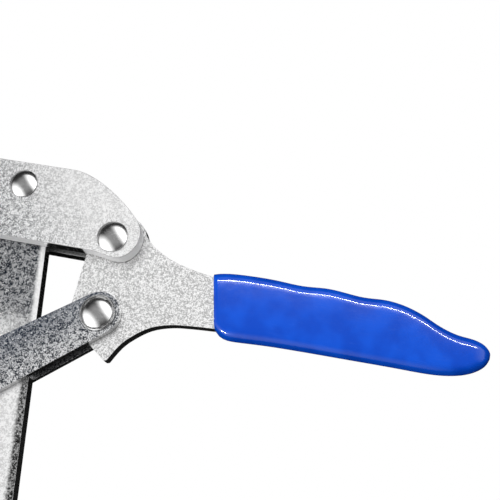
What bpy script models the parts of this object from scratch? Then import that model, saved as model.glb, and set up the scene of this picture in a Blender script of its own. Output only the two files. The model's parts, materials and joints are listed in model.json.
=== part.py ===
"""Toggle-locking C-clamp pliers, lying flat: plates parallel to XY, front plate on top.

The drawing below is in millimetres with (0, 0) beside the lever pivot, +X along the body and
+Z through the plates. Everything hangs on one empty, which puts the origin at the middle of
the bounding box's base.
"""

import math

import bmesh
import bpy
from mathutils import Vector

MM = 0.001

# --- driving dimensions (mm) -----------------------------------------------------------
GAP = 0.3  # between pieces that touch
CORE = 5.0  # middle layer: bar, lever, moving jaw, core
PLATE = 6.0  # each body plate
STRAP = 2.8  # each link strap
WASHER = 1.0

BODY_TOP = 26.9  # top edge of the body, above the lever pivot
BODY_BOTTOM = -7.3
BODY_NOSE = (-0.5, 1.2)  # centre of the round end over the lever pivot
BODY_NOSE_R = 10.9
ARM_REACH = 203.0  # lever pivot to the end of the fixed arm
ARM_BOTTOM = -3.0
LEG_HALF = 17.0  # half width of the leg that carries the jaw pivot
LEG_TAPER = 1.5  # how much narrower each side of the leg is at its foot
LEG_INNER_FILLET = 18.0
LEG_OUTER_FILLET = 16.0
CORNER_R = 3.0  # corners of plates and blocks
CORE_INSET = 2.0  # core plate's edge, inside the body plates' edge
CORE_NEAR = -95.0  # core plate's end towards the lever

LEVER_PIVOT = (-0.9, 0.0)
JAW_PIVOT = (-136.0, -78.0)
LINK_PIVOT = (1.0, -31.9)  # on the lever
LINK_LENGTH = 74.0
LINK_ANGLE = math.radians(218.65)  # from the lever towards the jaw
LINK_HALF = 9.0  # half width at the lever end
LINK_JAW_HALF = 11.2  # half width at the jaw end
LINK_HOLE_PLAY = 2.7  # room round the pin in the jaw's tail

LEVER_HUB_R = 12.2
NECK_TOP = -7.5
NECK_BOTTOM = -28.7
TANG_TOP = [(42.4, NECK_TOP), (62.0, -9.5), (100.0, -9.6), (128.0, -14.0)]  # inside the grip
TANG_LOW = [(128.0, -25.0), (90.0, -25.6), (62.0, -26.2), (48.7, NECK_BOTTOM)]
POCKET_LEAD = 6.5  # how far a grip's pocket cutter stands out of its open end
GRIP_THICK = 10.0
GRIP_ROUND = 3.6

BAR_WIDTH = 22.0
BAR_LEAN = math.radians(10.5)
BAR_EDGE = 31.5  # lever pivot to the bar's near edge
BAR_LENGTH = 214.0  # from the height of the lever pivot to the bar's tip
BAR_GRIP_LENGTH = 108.0
BAR_GRIP_TIP = 12.0  # grip's solid tip beyond the bar
BAR_GRIP_WIDTH = 31.0
BAR_TANG_INSET = 2.0  # the bar is narrower inside its grip
BAR_TIP_INSET = 5.0
BAR_SHOULDER = 14.0  # where it narrows, above the grip
BAR_HEAD_LEFT = -88.5  # the bar's leg inside the body
BAR_HEAD_LOW = 3.0
BAR_HEAD_UP = 30.5  # its head above the lever pivot's height

HEAD_R = 6.5
SMALL_HEAD_R = 6.1
WASHER_R = 7.4
HEAD_TALL = 3.0
SHANK_R = 3.5
RUNNING = 0.15  # radial clearance of a turning pin
BAR_RIVET = (-46.2, 16.8)
BAR_LEG_RIVET = (-80.0, 12.0)
CORE_RIVETS = {"corner": (-112.0, 12.0), "arm": (-150.0, 12.0), "leg": (-130.5, -30.0)}
NUT_RIVETS = {"inner": (23.0 - ARM_REACH, 12.0), "outer": (9.0 - ARM_REACH, 12.0)}
TONGUE_LENGTH = 30.0  # spindle nut's tongue, inside the arm
TONGUE_HALF = 10.0

SPINDLE_OUT = 14.0  # arm's end to the spindle's axis
SPINDLE_R = 5.0
SPINDLE_TOP = 70.0
NUT_WIDE = 20.0
NUT_TALL = 28.0
SPINDLE_PAD_FACE = -26.0  # clamping face of the upper pad
PAD_R = 10.0
PAD_THICK = 5.0
PAD_SOCKET = 2.0  # pad face to the bottom of its socket
RING_THICK = 2.4
PAD_PLAY = 0.7  # room for the pad to rock
NECK_R = 3.0
NECK_BREAK = 0.6
SCREW_BREAK = 1.0  # chamfer of the spindle's ends
HEAD_BLOCK_R = 8.0
HEAD_BLOCK_TALL = 16.0
TOMMY_R = 2.5
TOMMY_LENGTH = 70.0
TOMMY_END_R = 4.5
TOMMY_BREAK = 0.5
KNOB_OVERLAP = 1.0  # the bar's end stands this far past the knob's centre
CUTTER_REACH = 9.0  # cutters run this far past what they cut

JAW_FACE = -60.0  # clamping face of the lower anvil
JAW_TAIL_R = 9.8
JAW_HUB_R = 14.0
JAW_ARM_UNDER = 15.0  # pivot to the arm's lower edge
ANVIL_WIDE = 22.0
ANVIL_TALL = 16.0
ANVIL_THICK = 14.0
ANVIL_SOLID = 9.0  # solid part above the jaw's post
POST_HALF = 10.0

ARC_STEP = math.radians(7.5)

# --- layers, worked out ----------------------------------------------------------------
CORE_HALF = CORE / 2
PLATE_IN = CORE_HALF + GAP
FOOT_HALF = LEG_HALF - LEG_TAPER
PLATE_OUT = PLATE_IN + PLATE
STRAP_OUT = PLATE_IN + STRAP
WASHER_IN = STRAP_OUT + GAP
WASHER_OUT = WASHER_IN + WASHER
LINK_JAW_PIVOT = (
    LINK_PIVOT[0] + LINK_LENGTH * math.cos(LINK_ANGLE),
    LINK_PIVOT[1] + LINK_LENGTH * math.sin(LINK_ANGLE),
)
NUT_MID = (BODY_TOP + ARM_BOTTOM) / 2
SPINDLE_X = -ARM_REACH - SPINDLE_OUT
TONGUE_END = TONGUE_LENGTH - ARM_REACH
BAR_GRIP_START = BAR_LENGTH + BAR_GRIP_TIP - BAR_GRIP_LENGTH


# --- the scene and the materials -------------------------------------------------------
def clear_scene():
    for old in list(bpy.context.scene.objects):
        bpy.data.objects.remove(old, do_unlink=True)


def material(name, colour, roughness, metallic):
    made = bpy.data.materials.new(name)
    made.use_nodes = True
    shader = made.node_tree.nodes["Principled BSDF"]
    shader.inputs["Base Color"].default_value = (*colour, 1.0)
    shader.inputs["Roughness"].default_value = roughness
    shader.inputs["Metallic"].default_value = metallic
    return made


FINISHES = {
    "plate": ((0.58, 0.59, 0.61), 0.38, 1.0),
    "strap": ((0.45, 0.47, 0.50), 0.42, 1.0),
    "lever": ((0.66, 0.66, 0.67), 0.40, 1.0),
    "rivet": ((0.70, 0.70, 0.71), 0.18, 1.0),
    "screw": ((0.40, 0.40, 0.42), 0.30, 1.0),
    "grip": ((0.010, 0.055, 0.52), 0.25, 0.0),
}


# --- outlines: lists of (x, y) ---------------------------------------------------------
def arc(centre, radius, start, end):
    """Points on an arc from start to end, in degrees, either way round."""
    first, last = math.radians(start), math.radians(end)
    steps = max(2, math.ceil(abs(last - first) / ARC_STEP))
    turns = [first + (last - first) * i / steps for i in range(steps + 1)]
    return [(centre[0] + radius * math.cos(t), centre[1] + radius * math.sin(t)) for t in turns]


def bezier(a, b, c, d, steps=12):
    found = []
    for i in range(steps + 1):
        t = i / steps
        weights = ((1 - t) ** 3, 3 * t * (1 - t) ** 2, 3 * t * t * (1 - t), t**3)
        found.append(tuple(sum(w * p[k] for w, p in zip(weights, (a, b, c, d))) for k in (0, 1)))
    return found


def smooth_run(points, steps=5):
    """A smooth curve through the points, in order."""
    ends = [points[0], *points, points[-1]]
    found = []
    for i in range(1, len(ends) - 2):
        a, b, c, d = (Vector(p) for p in ends[i - 1 : i + 3])
        for j in range(steps):
            t = j / steps
            spot = 0.5 * (2 * b + (c - a) * t + (2 * a - 5 * b + 4 * c - d) * t * t)
            spot += 0.5 * (3 * b - a - 3 * c + d) * t**3
            found.append(tuple(spot))
    return [*found, points[-1]]


def rounded(corners):
    """A closed outline from (x, y, radius) corners, each rounded by its own radius."""
    found = []
    for i, (x, y, radius) in enumerate(corners):
        here = Vector((x, y))
        before = (Vector(corners[i - 1][:2]) - here).normalized()
        after = (Vector(corners[(i + 1) % len(corners)][:2]) - here).normalized()
        half = before.angle(after) / 2
        if radius == 0 or math.pi - 2 * half < 0.02:
            found.append((x, y))
            continue
        reach = radius / math.tan(half)
        centre = here + (before + after).normalized() * (radius / math.sin(half))
        start = here + before * reach - centre
        sweep = math.pi - 2 * half
        if start.cross(here + after * reach - centre) < 0:
            sweep = -sweep
        steps = max(2, math.ceil(abs(sweep) / ARC_STEP))
        first = math.atan2(start.y, start.x)
        for j in range(steps + 1):
            turn = first + sweep * j / steps
            found.append((centre.x + radius * math.cos(turn), centre.y + radius * math.sin(turn)))
    return found


def circle(centre, radius, count=24):
    turns = [2 * math.pi * i / count for i in range(count)]
    return [(centre[0] + radius * math.cos(t), centre[1] + radius * math.sin(t)) for t in turns]


def along_bar(down, across):
    """A point on the fixed bar: down from the lever pivot's height, across from its near edge."""
    axis = Vector((math.sin(BAR_LEAN), -math.cos(BAR_LEAN)))
    side = Vector((-math.cos(BAR_LEAN), -math.sin(BAR_LEAN)))
    spot = side * (BAR_EDGE + across) + axis * down
    return (spot.x, spot.y)


# --- solids ----------------------------------------------------------------------------
def place(obj, body, pivot, finish):
    """Puts the object under its body's empty, with its own material."""
    obj.data.materials.clear()
    obj.data.materials.append(material(obj.name, *FINISHES[finish]))
    obj.data.shade_smooth()
    obj.data.set_sharp_from_angle(angle=math.radians(35))
    obj.parent = body
    obj.location = Vector((pivot[0], pivot[1], 0)) * MM
    return obj


def mesh_object(name, mesh):
    obj = bpy.data.objects.new(name, mesh)
    bpy.context.scene.collection.objects.link(obj)
    return obj


def weld(mesh):
    work = bmesh.new()
    work.from_mesh(mesh)
    bmesh.ops.remove_doubles(work, verts=work.verts, dist=1e-7)
    bmesh.ops.recalc_face_normals(work, faces=work.faces)
    work.to_mesh(mesh)
    work.free()


def slab(name, outline, low, high, holes=(), edge=0.0, pivot=(0, 0)):
    """A plate cut to the outline, from height low to high, with its corners rounded by edge."""
    flat = bpy.data.curves.new(name + "_outline", "CURVE")
    flat.dimensions = "2D"
    flat.fill_mode = "BOTH"
    flat.extrude = ((high - low) / 2 - edge) * MM
    flat.bevel_depth = edge * MM
    flat.offset = -edge * MM
    flat.bevel_resolution = 1
    for loop in [outline, *holes]:
        spline = flat.splines.new("POLY")
        spline.points.add(len(loop) - 1)
        for point, (x, y) in zip(spline.points, loop):
            point.co = ((x - pivot[0]) * MM, (y - pivot[1]) * MM, 0, 1)
        spline.use_cyclic_u = True
    guide = mesh_object(name + "_guide", flat)
    graph = bpy.context.evaluated_depsgraph_get()
    mesh = bpy.data.meshes.new_from_object(guide.evaluated_get(graph))
    bpy.data.objects.remove(guide, do_unlink=True)
    for vertex in mesh.vertices:
        vertex.co.z += (low + high) / 2 * MM
    weld(mesh)
    return mesh_object(name, mesh)


def turned(name, profile, direction="Z", count=28):
    """A solid turned from (radius, height) pairs, from its lower end on the axis to its upper."""
    mesh = bpy.data.meshes.new(name)
    work = bmesh.new()
    rings = []
    for radius, height in profile:
        spots = [Vector((0, 0, height))]
        if radius > 0:
            turns = [2 * math.pi * i / count for i in range(count)]
            spots = [Vector((radius * math.cos(t), radius * math.sin(t), height)) for t in turns]
        if direction == "Y":
            spots = [Vector((p.y, p.z, p.x)) for p in spots]
        if direction == "X":
            spots = [Vector((p.z, p.x, p.y)) for p in spots]
        rings.append([work.verts.new(p * MM) for p in spots])
    for lower, upper in zip(rings, rings[1:]):
        for i in range(count):
            j = (i + 1) % count
            corners = [lower[i % len(lower)], lower[j % len(lower)]]
            corners += [upper[j % len(upper)], upper[i % len(upper)]]
            work.faces.new(list(dict.fromkeys(corners)))
    bmesh.ops.recalc_face_normals(work, faces=work.faces)
    work.to_mesh(mesh)
    work.free()
    return mesh_object(name, mesh)


def ring(name, inner, outer, low, high, direction="Z", count=28):
    """A flat ring: a turned washer with a hole through it."""
    mesh = bpy.data.meshes.new(name)
    work = bmesh.new()
    loops = []
    for radius, height in ((inner, low), (outer, low), (outer, high), (inner, high)):
        loop = []
        for i in range(count):
            t = 2 * math.pi * i / count
            spot = Vector((radius * math.cos(t), radius * math.sin(t), height))
            if direction == "Y":
                spot = Vector((spot.y, spot.z, spot.x))
            loop.append(work.verts.new(spot * MM))
        loops.append(loop)
    for k in range(4):
        a, b = loops[k], loops[(k + 1) % 4]
        for i in range(count):
            j = (i + 1) % count
            work.faces.new((a[i], a[j], b[j], b[i]))
    bmesh.ops.recalc_face_normals(work, faces=work.faces)
    work.to_mesh(mesh)
    work.free()
    return mesh_object(name, mesh)


def cut(obj, cutter):
    cutter.hide_render = True
    cutter.display_type = "WIRE"
    cutter.parent = obj
    step = obj.modifiers.new("cut_" + cutter.name, "BOOLEAN")
    step.operation = "DIFFERENCE"
    step.object = cutter
    return obj


def rivet(name, outer, head_r=HEAD_R, shank_r=SHANK_R):
    """A rivet through the stack, with a domed head on each side of half thickness outer."""
    base = outer + GAP
    dome = [(head_r * math.sin(t), HEAD_TALL * math.cos(t)) for t in
            (math.radians(a) for a in (72, 48, 24))]
    lower = [(0.0, -base - HEAD_TALL)]
    lower += [(r, -base - h) for r, h in reversed(dome)]
    lower += [(head_r, -base - 0.2), (head_r, -base), (shank_r, -base)]
    upper = [(r, -h) for r, h in reversed(lower)]
    return turned(name, lower + upper, count=24)


def empty(name, parent, spot):
    made = bpy.data.objects.new(name, None)
    bpy.context.scene.collection.objects.link(made)
    made.parent = parent
    made.location = Vector((spot[0], spot[1], 0)) * MM
    return made


# --- the frame: body plates, core, bar and rivets ---------------------------------------
def body_outline():
    """One body plate: arm along the top, round nose at the lever, leg down to the jaw pivot."""
    end = arc(BODY_NOSE, BODY_NOSE_R, 44, -46)
    brow = bezier((-26, BODY_TOP), (-16, BODY_TOP), (-0.2, 16.6), end[0])
    chin = bezier(end[-1], (3.2, -10.6), (-2.8, BODY_BOTTOM - 0.2), (-9, BODY_BOTTOM), 6)
    x, y = JAW_PIVOT
    ankle = y + LEG_HALF / 2
    rest = rounded(
        [
            (*chin[-1], 0),
            (x + 2 * LEG_HALF - 1, BODY_BOTTOM, LEG_INNER_FILLET),
            (x + FOOT_HALF, ankle, 0),
            (x - FOOT_HALF, ankle, 0),
            (x - LEG_HALF - 2, ARM_BOTTOM, LEG_OUTER_FILLET),
            (-ARM_REACH, ARM_BOTTOM, CORNER_R),
            (-ARM_REACH, BODY_TOP, CORNER_R),
            (*brow[0], 0),
        ]
    )
    cut_at = rest.index((x + FOOT_HALF, ankle))
    foot = arc(JAW_PIVOT, FOOT_HALF, 8, -188)
    return brow[1:] + end[1:-1] + chin[:-1] + rest[:cut_at] + foot + rest[cut_at + 2 :]


def pin_hole(spot, play=GAP):
    return circle(spot, SHANK_R + play)


def body_plates(root):
    spots = [BAR_RIVET, BAR_LEG_RIVET, *CORE_RIVETS.values(), *NUT_RIVETS.values()]
    holes = [pin_hole(s) for s in spots] + [pin_hole(LEVER_PIVOT), pin_hole(JAW_PIVOT)]
    for side, low, high in (("front", PLATE_IN, PLATE_OUT), ("rear", -PLATE_OUT, -PLATE_IN)):
        plate = slab(side + "_body_plate", body_outline(), low, high, holes)
        place(plate, root, (0, 0), "plate")


def frame_core(root):
    """The middle plate that spaces the body plates along the arm and down the leg."""
    x, y = JAW_PIVOT
    clear = y + JAW_HUB_R + 6
    far = TONGUE_END + CORE_INSET
    low = ARM_BOTTOM + CORE_INSET
    half = LEG_HALF - 2 * CORE_INSET
    outline = rounded(
        [
            (CORE_NEAR, BODY_TOP - CORE_INSET, CORNER_R),
            (far, BODY_TOP - CORE_INSET, CORNER_R),
            (far, low, CORNER_R),
            (x - half - 1, low, LEG_OUTER_FILLET - 6),
            (x - half, clear, CORNER_R),
            (x + half, clear, CORNER_R),
            (x + LEG_HALF + CORE_INSET, -24, LEG_INNER_FILLET - 6),
            (CORE_NEAR, BODY_BOTTOM + 3, CORNER_R),
        ]
    )
    holes = [pin_hole(s) for s in CORE_RIVETS.values()]
    place(slab("frame_core_plate", outline, -CORE_HALF, CORE_HALF, holes), root, (0, 0), "plate")


def fixed_handle(root):
    """The bar between the plates, with a leg that the second rivet holds, and its dipped grip."""
    tip = BAR_LENGTH
    half = BAR_WIDTH / 2
    top_near = along_bar(-BAR_HEAD_UP, 0)
    shoulder = BAR_GRIP_START - BAR_SHOULDER
    narrow = shoulder + 10
    outline = rounded(
        [
            (*along_bar(tip, BAR_TIP_INSET), 6),
            (*along_bar(narrow, BAR_TANG_INSET), 4),
            (*along_bar(shoulder, 0), 4),
            (*top_near, 5),
            (BAR_HEAD_LEFT, top_near[1] - 1.5, 5),
            (BAR_HEAD_LEFT, BAR_HEAD_LOW, 5),
            (*along_bar(-9, BAR_WIDTH), 6),
            (*along_bar(shoulder, BAR_WIDTH), 4),
            (*along_bar(narrow, BAR_WIDTH - BAR_TANG_INSET), 4),
            (*along_bar(tip, BAR_WIDTH - BAR_TIP_INSET), 6),
        ]
    )
    holes = [pin_hole(BAR_RIVET), pin_hole(BAR_LEG_RIVET)]
    bar = slab("fixed_handle_bar", outline, -CORE_HALF, CORE_HALF, holes)
    place(bar, root, (0, 0), "lever")
    start = BAR_GRIP_START
    end = start + BAR_GRIP_LENGTH
    out = (BAR_GRIP_WIDTH - BAR_WIDTH) / 2
    length = BAR_GRIP_LENGTH
    near = [(0.0, 0.6), (0.12, 0), (0.30, 0.7), (0.48, 0.1), (0.66, 1.0), (0.82, 0.6), (0.93, 2.6)]
    near_side = [along_bar(start + s * length, -out + d) for s, d in near]
    far = [(0.93, -3.0), (0.7, 0.0), (0.4, 0.2), (0.15, 0), (0.0, -0.6)]
    far_side = [along_bar(start + s * length, BAR_WIDTH + out + d) for s, d in far]
    nose = [along_bar(end - 3, half - 8), along_bar(end, half), along_bar(end - 3, half + 8)]
    outline = smooth_run(near_side + nose + far_side)
    half_thick = GRIP_THICK / 2
    grip = slab("fixed_handle_grip", outline, -half_thick, half_thick, edge=GRIP_ROUND)
    place(grip, root, (0, 0), "grip")
    pocket = rounded(
        [
            (*along_bar(tip + GAP, BAR_TIP_INSET - GAP), 5),
            (*along_bar(start - POCKET_LEAD, BAR_TANG_INSET - GAP), 0),
            (*along_bar(start - POCKET_LEAD, BAR_WIDTH - BAR_TANG_INSET + GAP), 0),
            (*along_bar(tip + GAP, BAR_WIDTH - BAR_TIP_INSET + GAP), 5),
        ]
    )
    high = CORE_HALF + GAP
    cut(grip, slab("fixed_grip_pocket", pocket, -high, high))


def frame_rivets(root):
    spots = {"bar_rivet": BAR_RIVET, "bar_leg_rivet": BAR_LEG_RIVET}
    spots.update({f"core_{k}_rivet": v for k, v in CORE_RIVETS.items()})
    spots.update({f"nut_{k}_rivet": v for k, v in NUT_RIVETS.items()})
    for name, spot in spots.items():
        place(rivet(name, PLATE_OUT, SMALL_HEAD_R), root, spot, "rivet")
    place(rivet("lever_pivot_rivet", PLATE_OUT), root, LEVER_PIVOT, "rivet")
    place(rivet("jaw_pivot_rivet", PLATE_OUT), root, JAW_PIVOT, "rivet")


def spindle_nut(root):
    """The threaded block at the arm's end, with a tongue between the plates."""
    left = SPINDLE_X - NUT_WIDE / 2
    right = -ARM_REACH - GAP
    mesh = bpy.data.meshes.new("spindle_nut")
    work = bmesh.new()
    block = bmesh.ops.create_cube(work, size=1)["verts"]
    size = Vector((right - left, NUT_TALL, PLATE_OUT * 2))
    centre = Vector(((left + right) / 2, NUT_MID, 0))
    for vertex in block:
        vertex.co = (vertex.co * size + centre) * MM
    bmesh.ops.bevel(work, geom=work.edges[:], offset=1.2 * MM, segments=2, affect="EDGES")
    work.to_mesh(mesh)
    work.free()
    nut = mesh_object("spindle_nut", mesh)
    tongue = rounded(
        [
            (right - 5, NUT_MID - TONGUE_HALF, 0),
            (TONGUE_END, NUT_MID - TONGUE_HALF, CORNER_R),
            (TONGUE_END, NUT_MID + TONGUE_HALF, CORNER_R),
            (right - 5, NUT_MID + TONGUE_HALF, 0),
        ]
    )
    holes = [pin_hole(s) for s in NUT_RIVETS.values()]
    join = nut.modifiers.new("tongue", "BOOLEAN")
    join.operation = "UNION"
    join.object = slab("nut_tongue", tongue, -CORE_HALF, CORE_HALF, holes)
    join.object.hide_render = True
    join.object.display_type = "WIRE"
    join.object.parent = nut
    low = NUT_MID - NUT_TALL / 2 - CUTTER_REACH
    high = NUT_MID + NUT_TALL / 2 + CUTTER_REACH
    wide = SPINDLE_R + GAP
    bore = turned("nut_bore", [(0, low), (wide, low), (wide, high), (0, high)], "Y")
    cut(nut, bore)
    bore.location = Vector((SPINDLE_X, 0, 0)) * MM
    place(nut, root, (0, 0), "plate")


# --- the lever ---------------------------------------------------------------------------
def lever_outline():
    """Round hub, concave neck, straight tang for the grip, and the heel that holds the link."""
    hub = arc((0, 0), LEVER_HUB_R, 180, 24)
    brow = bezier(hub[-1], (13.6, 1.6), (21.5, -5.4), TANG_TOP[0], 10)
    belly = smooth_run(
        [TANG_LOW[-1], (38.5, -29.5), (30.4, -30.6), (22.7, -33.3), (16.6, -37.9),
         (12.4, -42.6), (8.9, -49.3)], 4)
    heel = [(7.8, -49.7), (-0.6, -44.1), (-12.2, -31.0)]
    return hub[:-1] + brow + TANG_TOP[1:] + TANG_LOW[:-1] + belly + heel


def lever(body):
    at = LEVER_PIVOT
    holes = [circle(at, SHANK_R + RUNNING), circle(LINK_PIVOT, SHANK_R + GAP)]
    plate = slab("lever_plate", lever_outline(), -CORE_HALF, CORE_HALF, holes, pivot=at)
    place(plate, body, (0, 0), "lever")
    top = [(42.8, -5.9), (48.4, -4.6), (58, -4.0), (68.3, -3.9), (79.5, -4.5), (90.2, -3.6),
           (103.5, -4.8), (111.8, -4.2), (119.4, -5.0), (127.3, -7.5), (134.3, -10.9),
           (141.2, -13.1), (147.8, -13.8), (152.2, -15.4), (154.6, -18.6)]
    bottom = [(153.2, -23.2), (148.7, -26.7), (142.5, -28.9), (133.5, -30.1), (118.9, -30.2),
              (104.2, -30.4), (74.0, -30.9), (57.0, -31.9), (52.4, -31.9), (49.0, -30.6)]
    half = GRIP_THICK / 2
    outline = smooth_run(top + bottom, 3)
    grip = slab("lever_grip", outline, -half, half, edge=GRIP_ROUND, pivot=at)
    place(grip, body, (0, 0), "grip")
    over = [(x, y + GAP) for x, y in TANG_TOP]
    under = [(x, y - GAP) for x, y in TANG_LOW]
    mouth = over[0][0] - POCKET_LEAD
    tip = over[-1][0] + GAP
    pocket = [(mouth, over[0][1] + 1.4), *over[:-1], (tip, over[-1][1]), (tip, under[0][1]),
              *under[1:], (mouth, under[-1][1] - 1.1)]
    high = CORE_HALF + GAP
    cut(grip, slab("lever_grip_pocket", pocket, -high, high, pivot=at))
    offset = (LINK_PIVOT[0] - at[0], LINK_PIVOT[1] - at[1])
    place(rivet("link_pivot_rivet", WASHER_OUT), body, offset, "rivet")


# --- the link ----------------------------------------------------------------------------
def link(body):
    """Two straps that straddle the bar, from the lever to the moving jaw's tail."""
    along = Vector((math.cos(LINK_ANGLE), math.sin(LINK_ANGLE)))
    turn = math.degrees(LINK_ANGLE)
    near = arc(LINK_PIVOT, LINK_HALF, turn + 268, turn + 92)
    far = arc(LINK_JAW_PIVOT, LINK_JAW_HALF, turn + 88, turn - 88)
    holes = [
        circle(LINK_PIVOT, SHANK_R + RUNNING),
        circle(LINK_JAW_PIVOT, SHANK_R + GAP),
    ]
    for side, low, high in (("front", PLATE_IN, STRAP_OUT), ("rear", -STRAP_OUT, -PLATE_IN)):
        strap = slab(side + "_link_strap", near + far, low, high, holes, pivot=LINK_PIVOT)
        place(strap, body, (0, 0), "strap")
    for end, spot in (("lever", LINK_PIVOT), ("jaw", LINK_JAW_PIVOT)):
        offset = (spot[0] - LINK_PIVOT[0], spot[1] - LINK_PIVOT[1])
        for side, low, high in (("front", WASHER_IN, WASHER_OUT), ("rear", -WASHER_OUT, -WASHER_IN)):
            washer = ring(f"{side}_{end}_washer", SHANK_R + GAP, WASHER_R, low, high)
            place(washer, body, offset, "rivet")
    offset = along * LINK_LENGTH
    place(rivet("link_jaw_rivet", WASHER_OUT), body, (offset.x, offset.y), "rivet")


# --- the moving jaw ------------------------------------------------------------------------
def moving_jaw(body):
    x, y = JAW_PIVOT
    tail = LINK_JAW_PIVOT
    post = SPINDLE_X
    post_top = JAW_FACE - ANVIL_SOLID
    outline = rounded(
        [
            (tail[0] + JAW_TAIL_R, tail[1] + JAW_TAIL_R, JAW_TAIL_R - 0.1),
            (x + 4, y + JAW_HUB_R + 0.6, 40),
            (post + 26, y + 3, 14),
            (post + 11, y + 4, 3),
            (post + POST_HALF, post_top, 2),
            (post - POST_HALF, post_top, 2),
            (post - 13, y - JAW_ARM_UNDER, 17),
            (x, y - JAW_ARM_UNDER, 40),
            (tail[0] + JAW_TAIL_R, tail[1] - JAW_TAIL_R, JAW_TAIL_R - 0.1),
        ]
    )
    holes = [
        circle(JAW_PIVOT, SHANK_R + RUNNING),
        circle(tail, SHANK_R + LINK_HOLE_PLAY),
    ]
    plate = slab("moving_jaw", outline, -CORE_HALF, CORE_HALF, holes, pivot=JAW_PIVOT)
    place(plate, body, (0, 0), "lever")
    low = JAW_FACE - ANVIL_TALL
    mesh = bpy.data.meshes.new("jaw_anvil")
    work = bmesh.new()
    for vertex in bmesh.ops.create_cube(work, size=1)["verts"]:
        size = Vector((ANVIL_WIDE, JAW_FACE - low, ANVIL_THICK))
        vertex.co = (vertex.co * size + Vector((0, (JAW_FACE + low) / 2, 0))) * MM
    bmesh.ops.bevel(work, geom=work.edges[:], offset=1.0 * MM, segments=2, affect="EDGES")
    work.to_mesh(mesh)
    work.free()
    anvil = mesh_object("jaw_anvil", mesh)
    room = post_top + GAP
    wide = ANVIL_WIDE / 2 + CUTTER_REACH
    under = low - CUTTER_REACH
    slot = [(-wide, under), (wide, under), (wide, room), (-wide, room)]
    cut(anvil, slab("anvil_slot", slot, -PLATE_IN, PLATE_IN))
    place(anvil, body, (post - x, -y), "plate")


# --- the spindle ---------------------------------------------------------------------------
def spindle_set(carrier, pad_body, screw, bar_body):
    """Threaded spindle with its swivel pad, retaining ring and sliding tommy bar."""
    ring_low = SPINDLE_PAD_FACE + PAD_THICK + PAD_PLAY
    ring_high = ring_low + RING_THICK
    place(ring("pad_retaining_ring", NECK_R + GAP, PAD_R - 3, ring_low, ring_high, "Y"),
          carrier, (0, 0), "screw")
    pad = turned(
        "spindle_pad",
        [(0, 0), (PAD_R - 1, 0), (PAD_R, 1), (PAD_R, PAD_THICK - 1.5), (PAD_R - 2.5, PAD_THICK),
         (NECK_R + PAD_PLAY, PAD_THICK), (NECK_R + PAD_PLAY, PAD_SOCKET), (0, PAD_SOCKET)], "Y")
    place(pad, pad_body, (0, 0), "screw")
    base = SPINDLE_PAD_FACE + PAD_SOCKET + PAD_PLAY
    shoulder = ring_high + GAP
    top = SPINDLE_TOP
    head = top - HEAD_BLOCK_TALL
    edge = SCREW_BREAK
    screw_solid = turned(
        "spindle",
        [(0, base), (NECK_R - NECK_BREAK, base), (NECK_R, base + NECK_BREAK), (NECK_R, shoulder),
         (SPINDLE_R - edge, shoulder), (SPINDLE_R, shoulder + edge), (SPINDLE_R, head),
         (HEAD_BLOCK_R - edge, head), (HEAD_BLOCK_R, head + edge),
         (HEAD_BLOCK_R, top - 2 * edge), (HEAD_BLOCK_R - 2 * edge, top), (0, top)], "Y")
    place(screw_solid, screw, (0, 0), "screw")
    reach = HEAD_BLOCK_R + CUTTER_REACH
    eye = turned("spindle_eye", [(0, -reach), (TOMMY_R + GAP, -reach), (TOMMY_R + GAP, reach),
                                 (0, reach)], "X", 24)
    cut(screw_solid, eye)
    eye.location = Vector((0, top - HEAD_BLOCK_TALL / 2, 0)) * MM
    half = TOMMY_LENGTH / 2
    edge = TOMMY_BREAK
    bar = turned("tommy_bar", [(0, -half), (TOMMY_R - edge, -half), (TOMMY_R, -half + edge),
                               (TOMMY_R, half - edge), (TOMMY_R - edge, half), (0, half)], "X", 24)
    place(bar, bar_body, (0, 0), "rivet")
    for side, way in (("left", -1), ("right", 1)):
        ball = [(0, -TOMMY_END_R)]
        ball += [(TOMMY_END_R * math.sin(math.radians(a)), -TOMMY_END_R * math.cos(math.radians(a)))
                 for a in range(20, 180, 20)]
        ball += [(0, TOMMY_END_R)]
        knob = turned(f"tommy_{side}_knob", ball, "X", 24)
        place(knob, bar_body, (way * (half - KNOB_OVERLAP), 0), "rivet")
        wide = TOMMY_R + GAP
        far = CUTTER_REACH
        socket = turned(f"{side}_knob_bore", [(0, -far), (wide, -far), (wide, far), (0, far)], "X", 24)
        cut(knob, socket)
        socket.location = Vector((-way * (far - KNOB_OVERLAP - GAP), 0, 0)) * MM


def world_bounds():
    graph = bpy.context.evaluated_depsgraph_get()
    spots = []
    for obj in bpy.context.scene.objects:
        if obj.type == "MESH" and not obj.hide_render:
            done = obj.evaluated_get(graph)
            spots += [obj.matrix_world @ v.co for v in done.data.vertices]
    low = [min(p[k] for p in spots) for k in range(3)]
    high = [max(p[k] for p in spots) for k in range(3)]
    return low, high


def main():
    clear_scene()
    root = empty("pliers", None, (0, 0))
    body_plates(root)
    frame_core(root)
    fixed_handle(root)
    frame_rivets(root)
    spindle_nut(root)
    lever(empty("lever_axis", root, LEVER_PIVOT))
    link(empty("link_axis", root, LINK_PIVOT))
    moving_jaw(empty("jaw_axis", root, JAW_PIVOT))
    carrier = empty("spindle_axis", root, (SPINDLE_X, 0))
    pad_axis = empty("pad_axis", carrier, (0, SPINDLE_PAD_FACE))
    bar_axis = empty("tommy_axis", carrier, (0, SPINDLE_TOP - HEAD_BLOCK_TALL / 2))
    spindle_set(carrier, pad_axis, carrier, bar_axis)
    bpy.context.view_layer.update()
    low, high = world_bounds()
    root.location = (-(low[0] + high[0]) / 2, -(low[1] + high[1]) / 2, -low[2])
    bpy.context.view_layer.update()
    print("origin moved by", [round(v / MM, 3) for v in root.location])


main()
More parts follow.
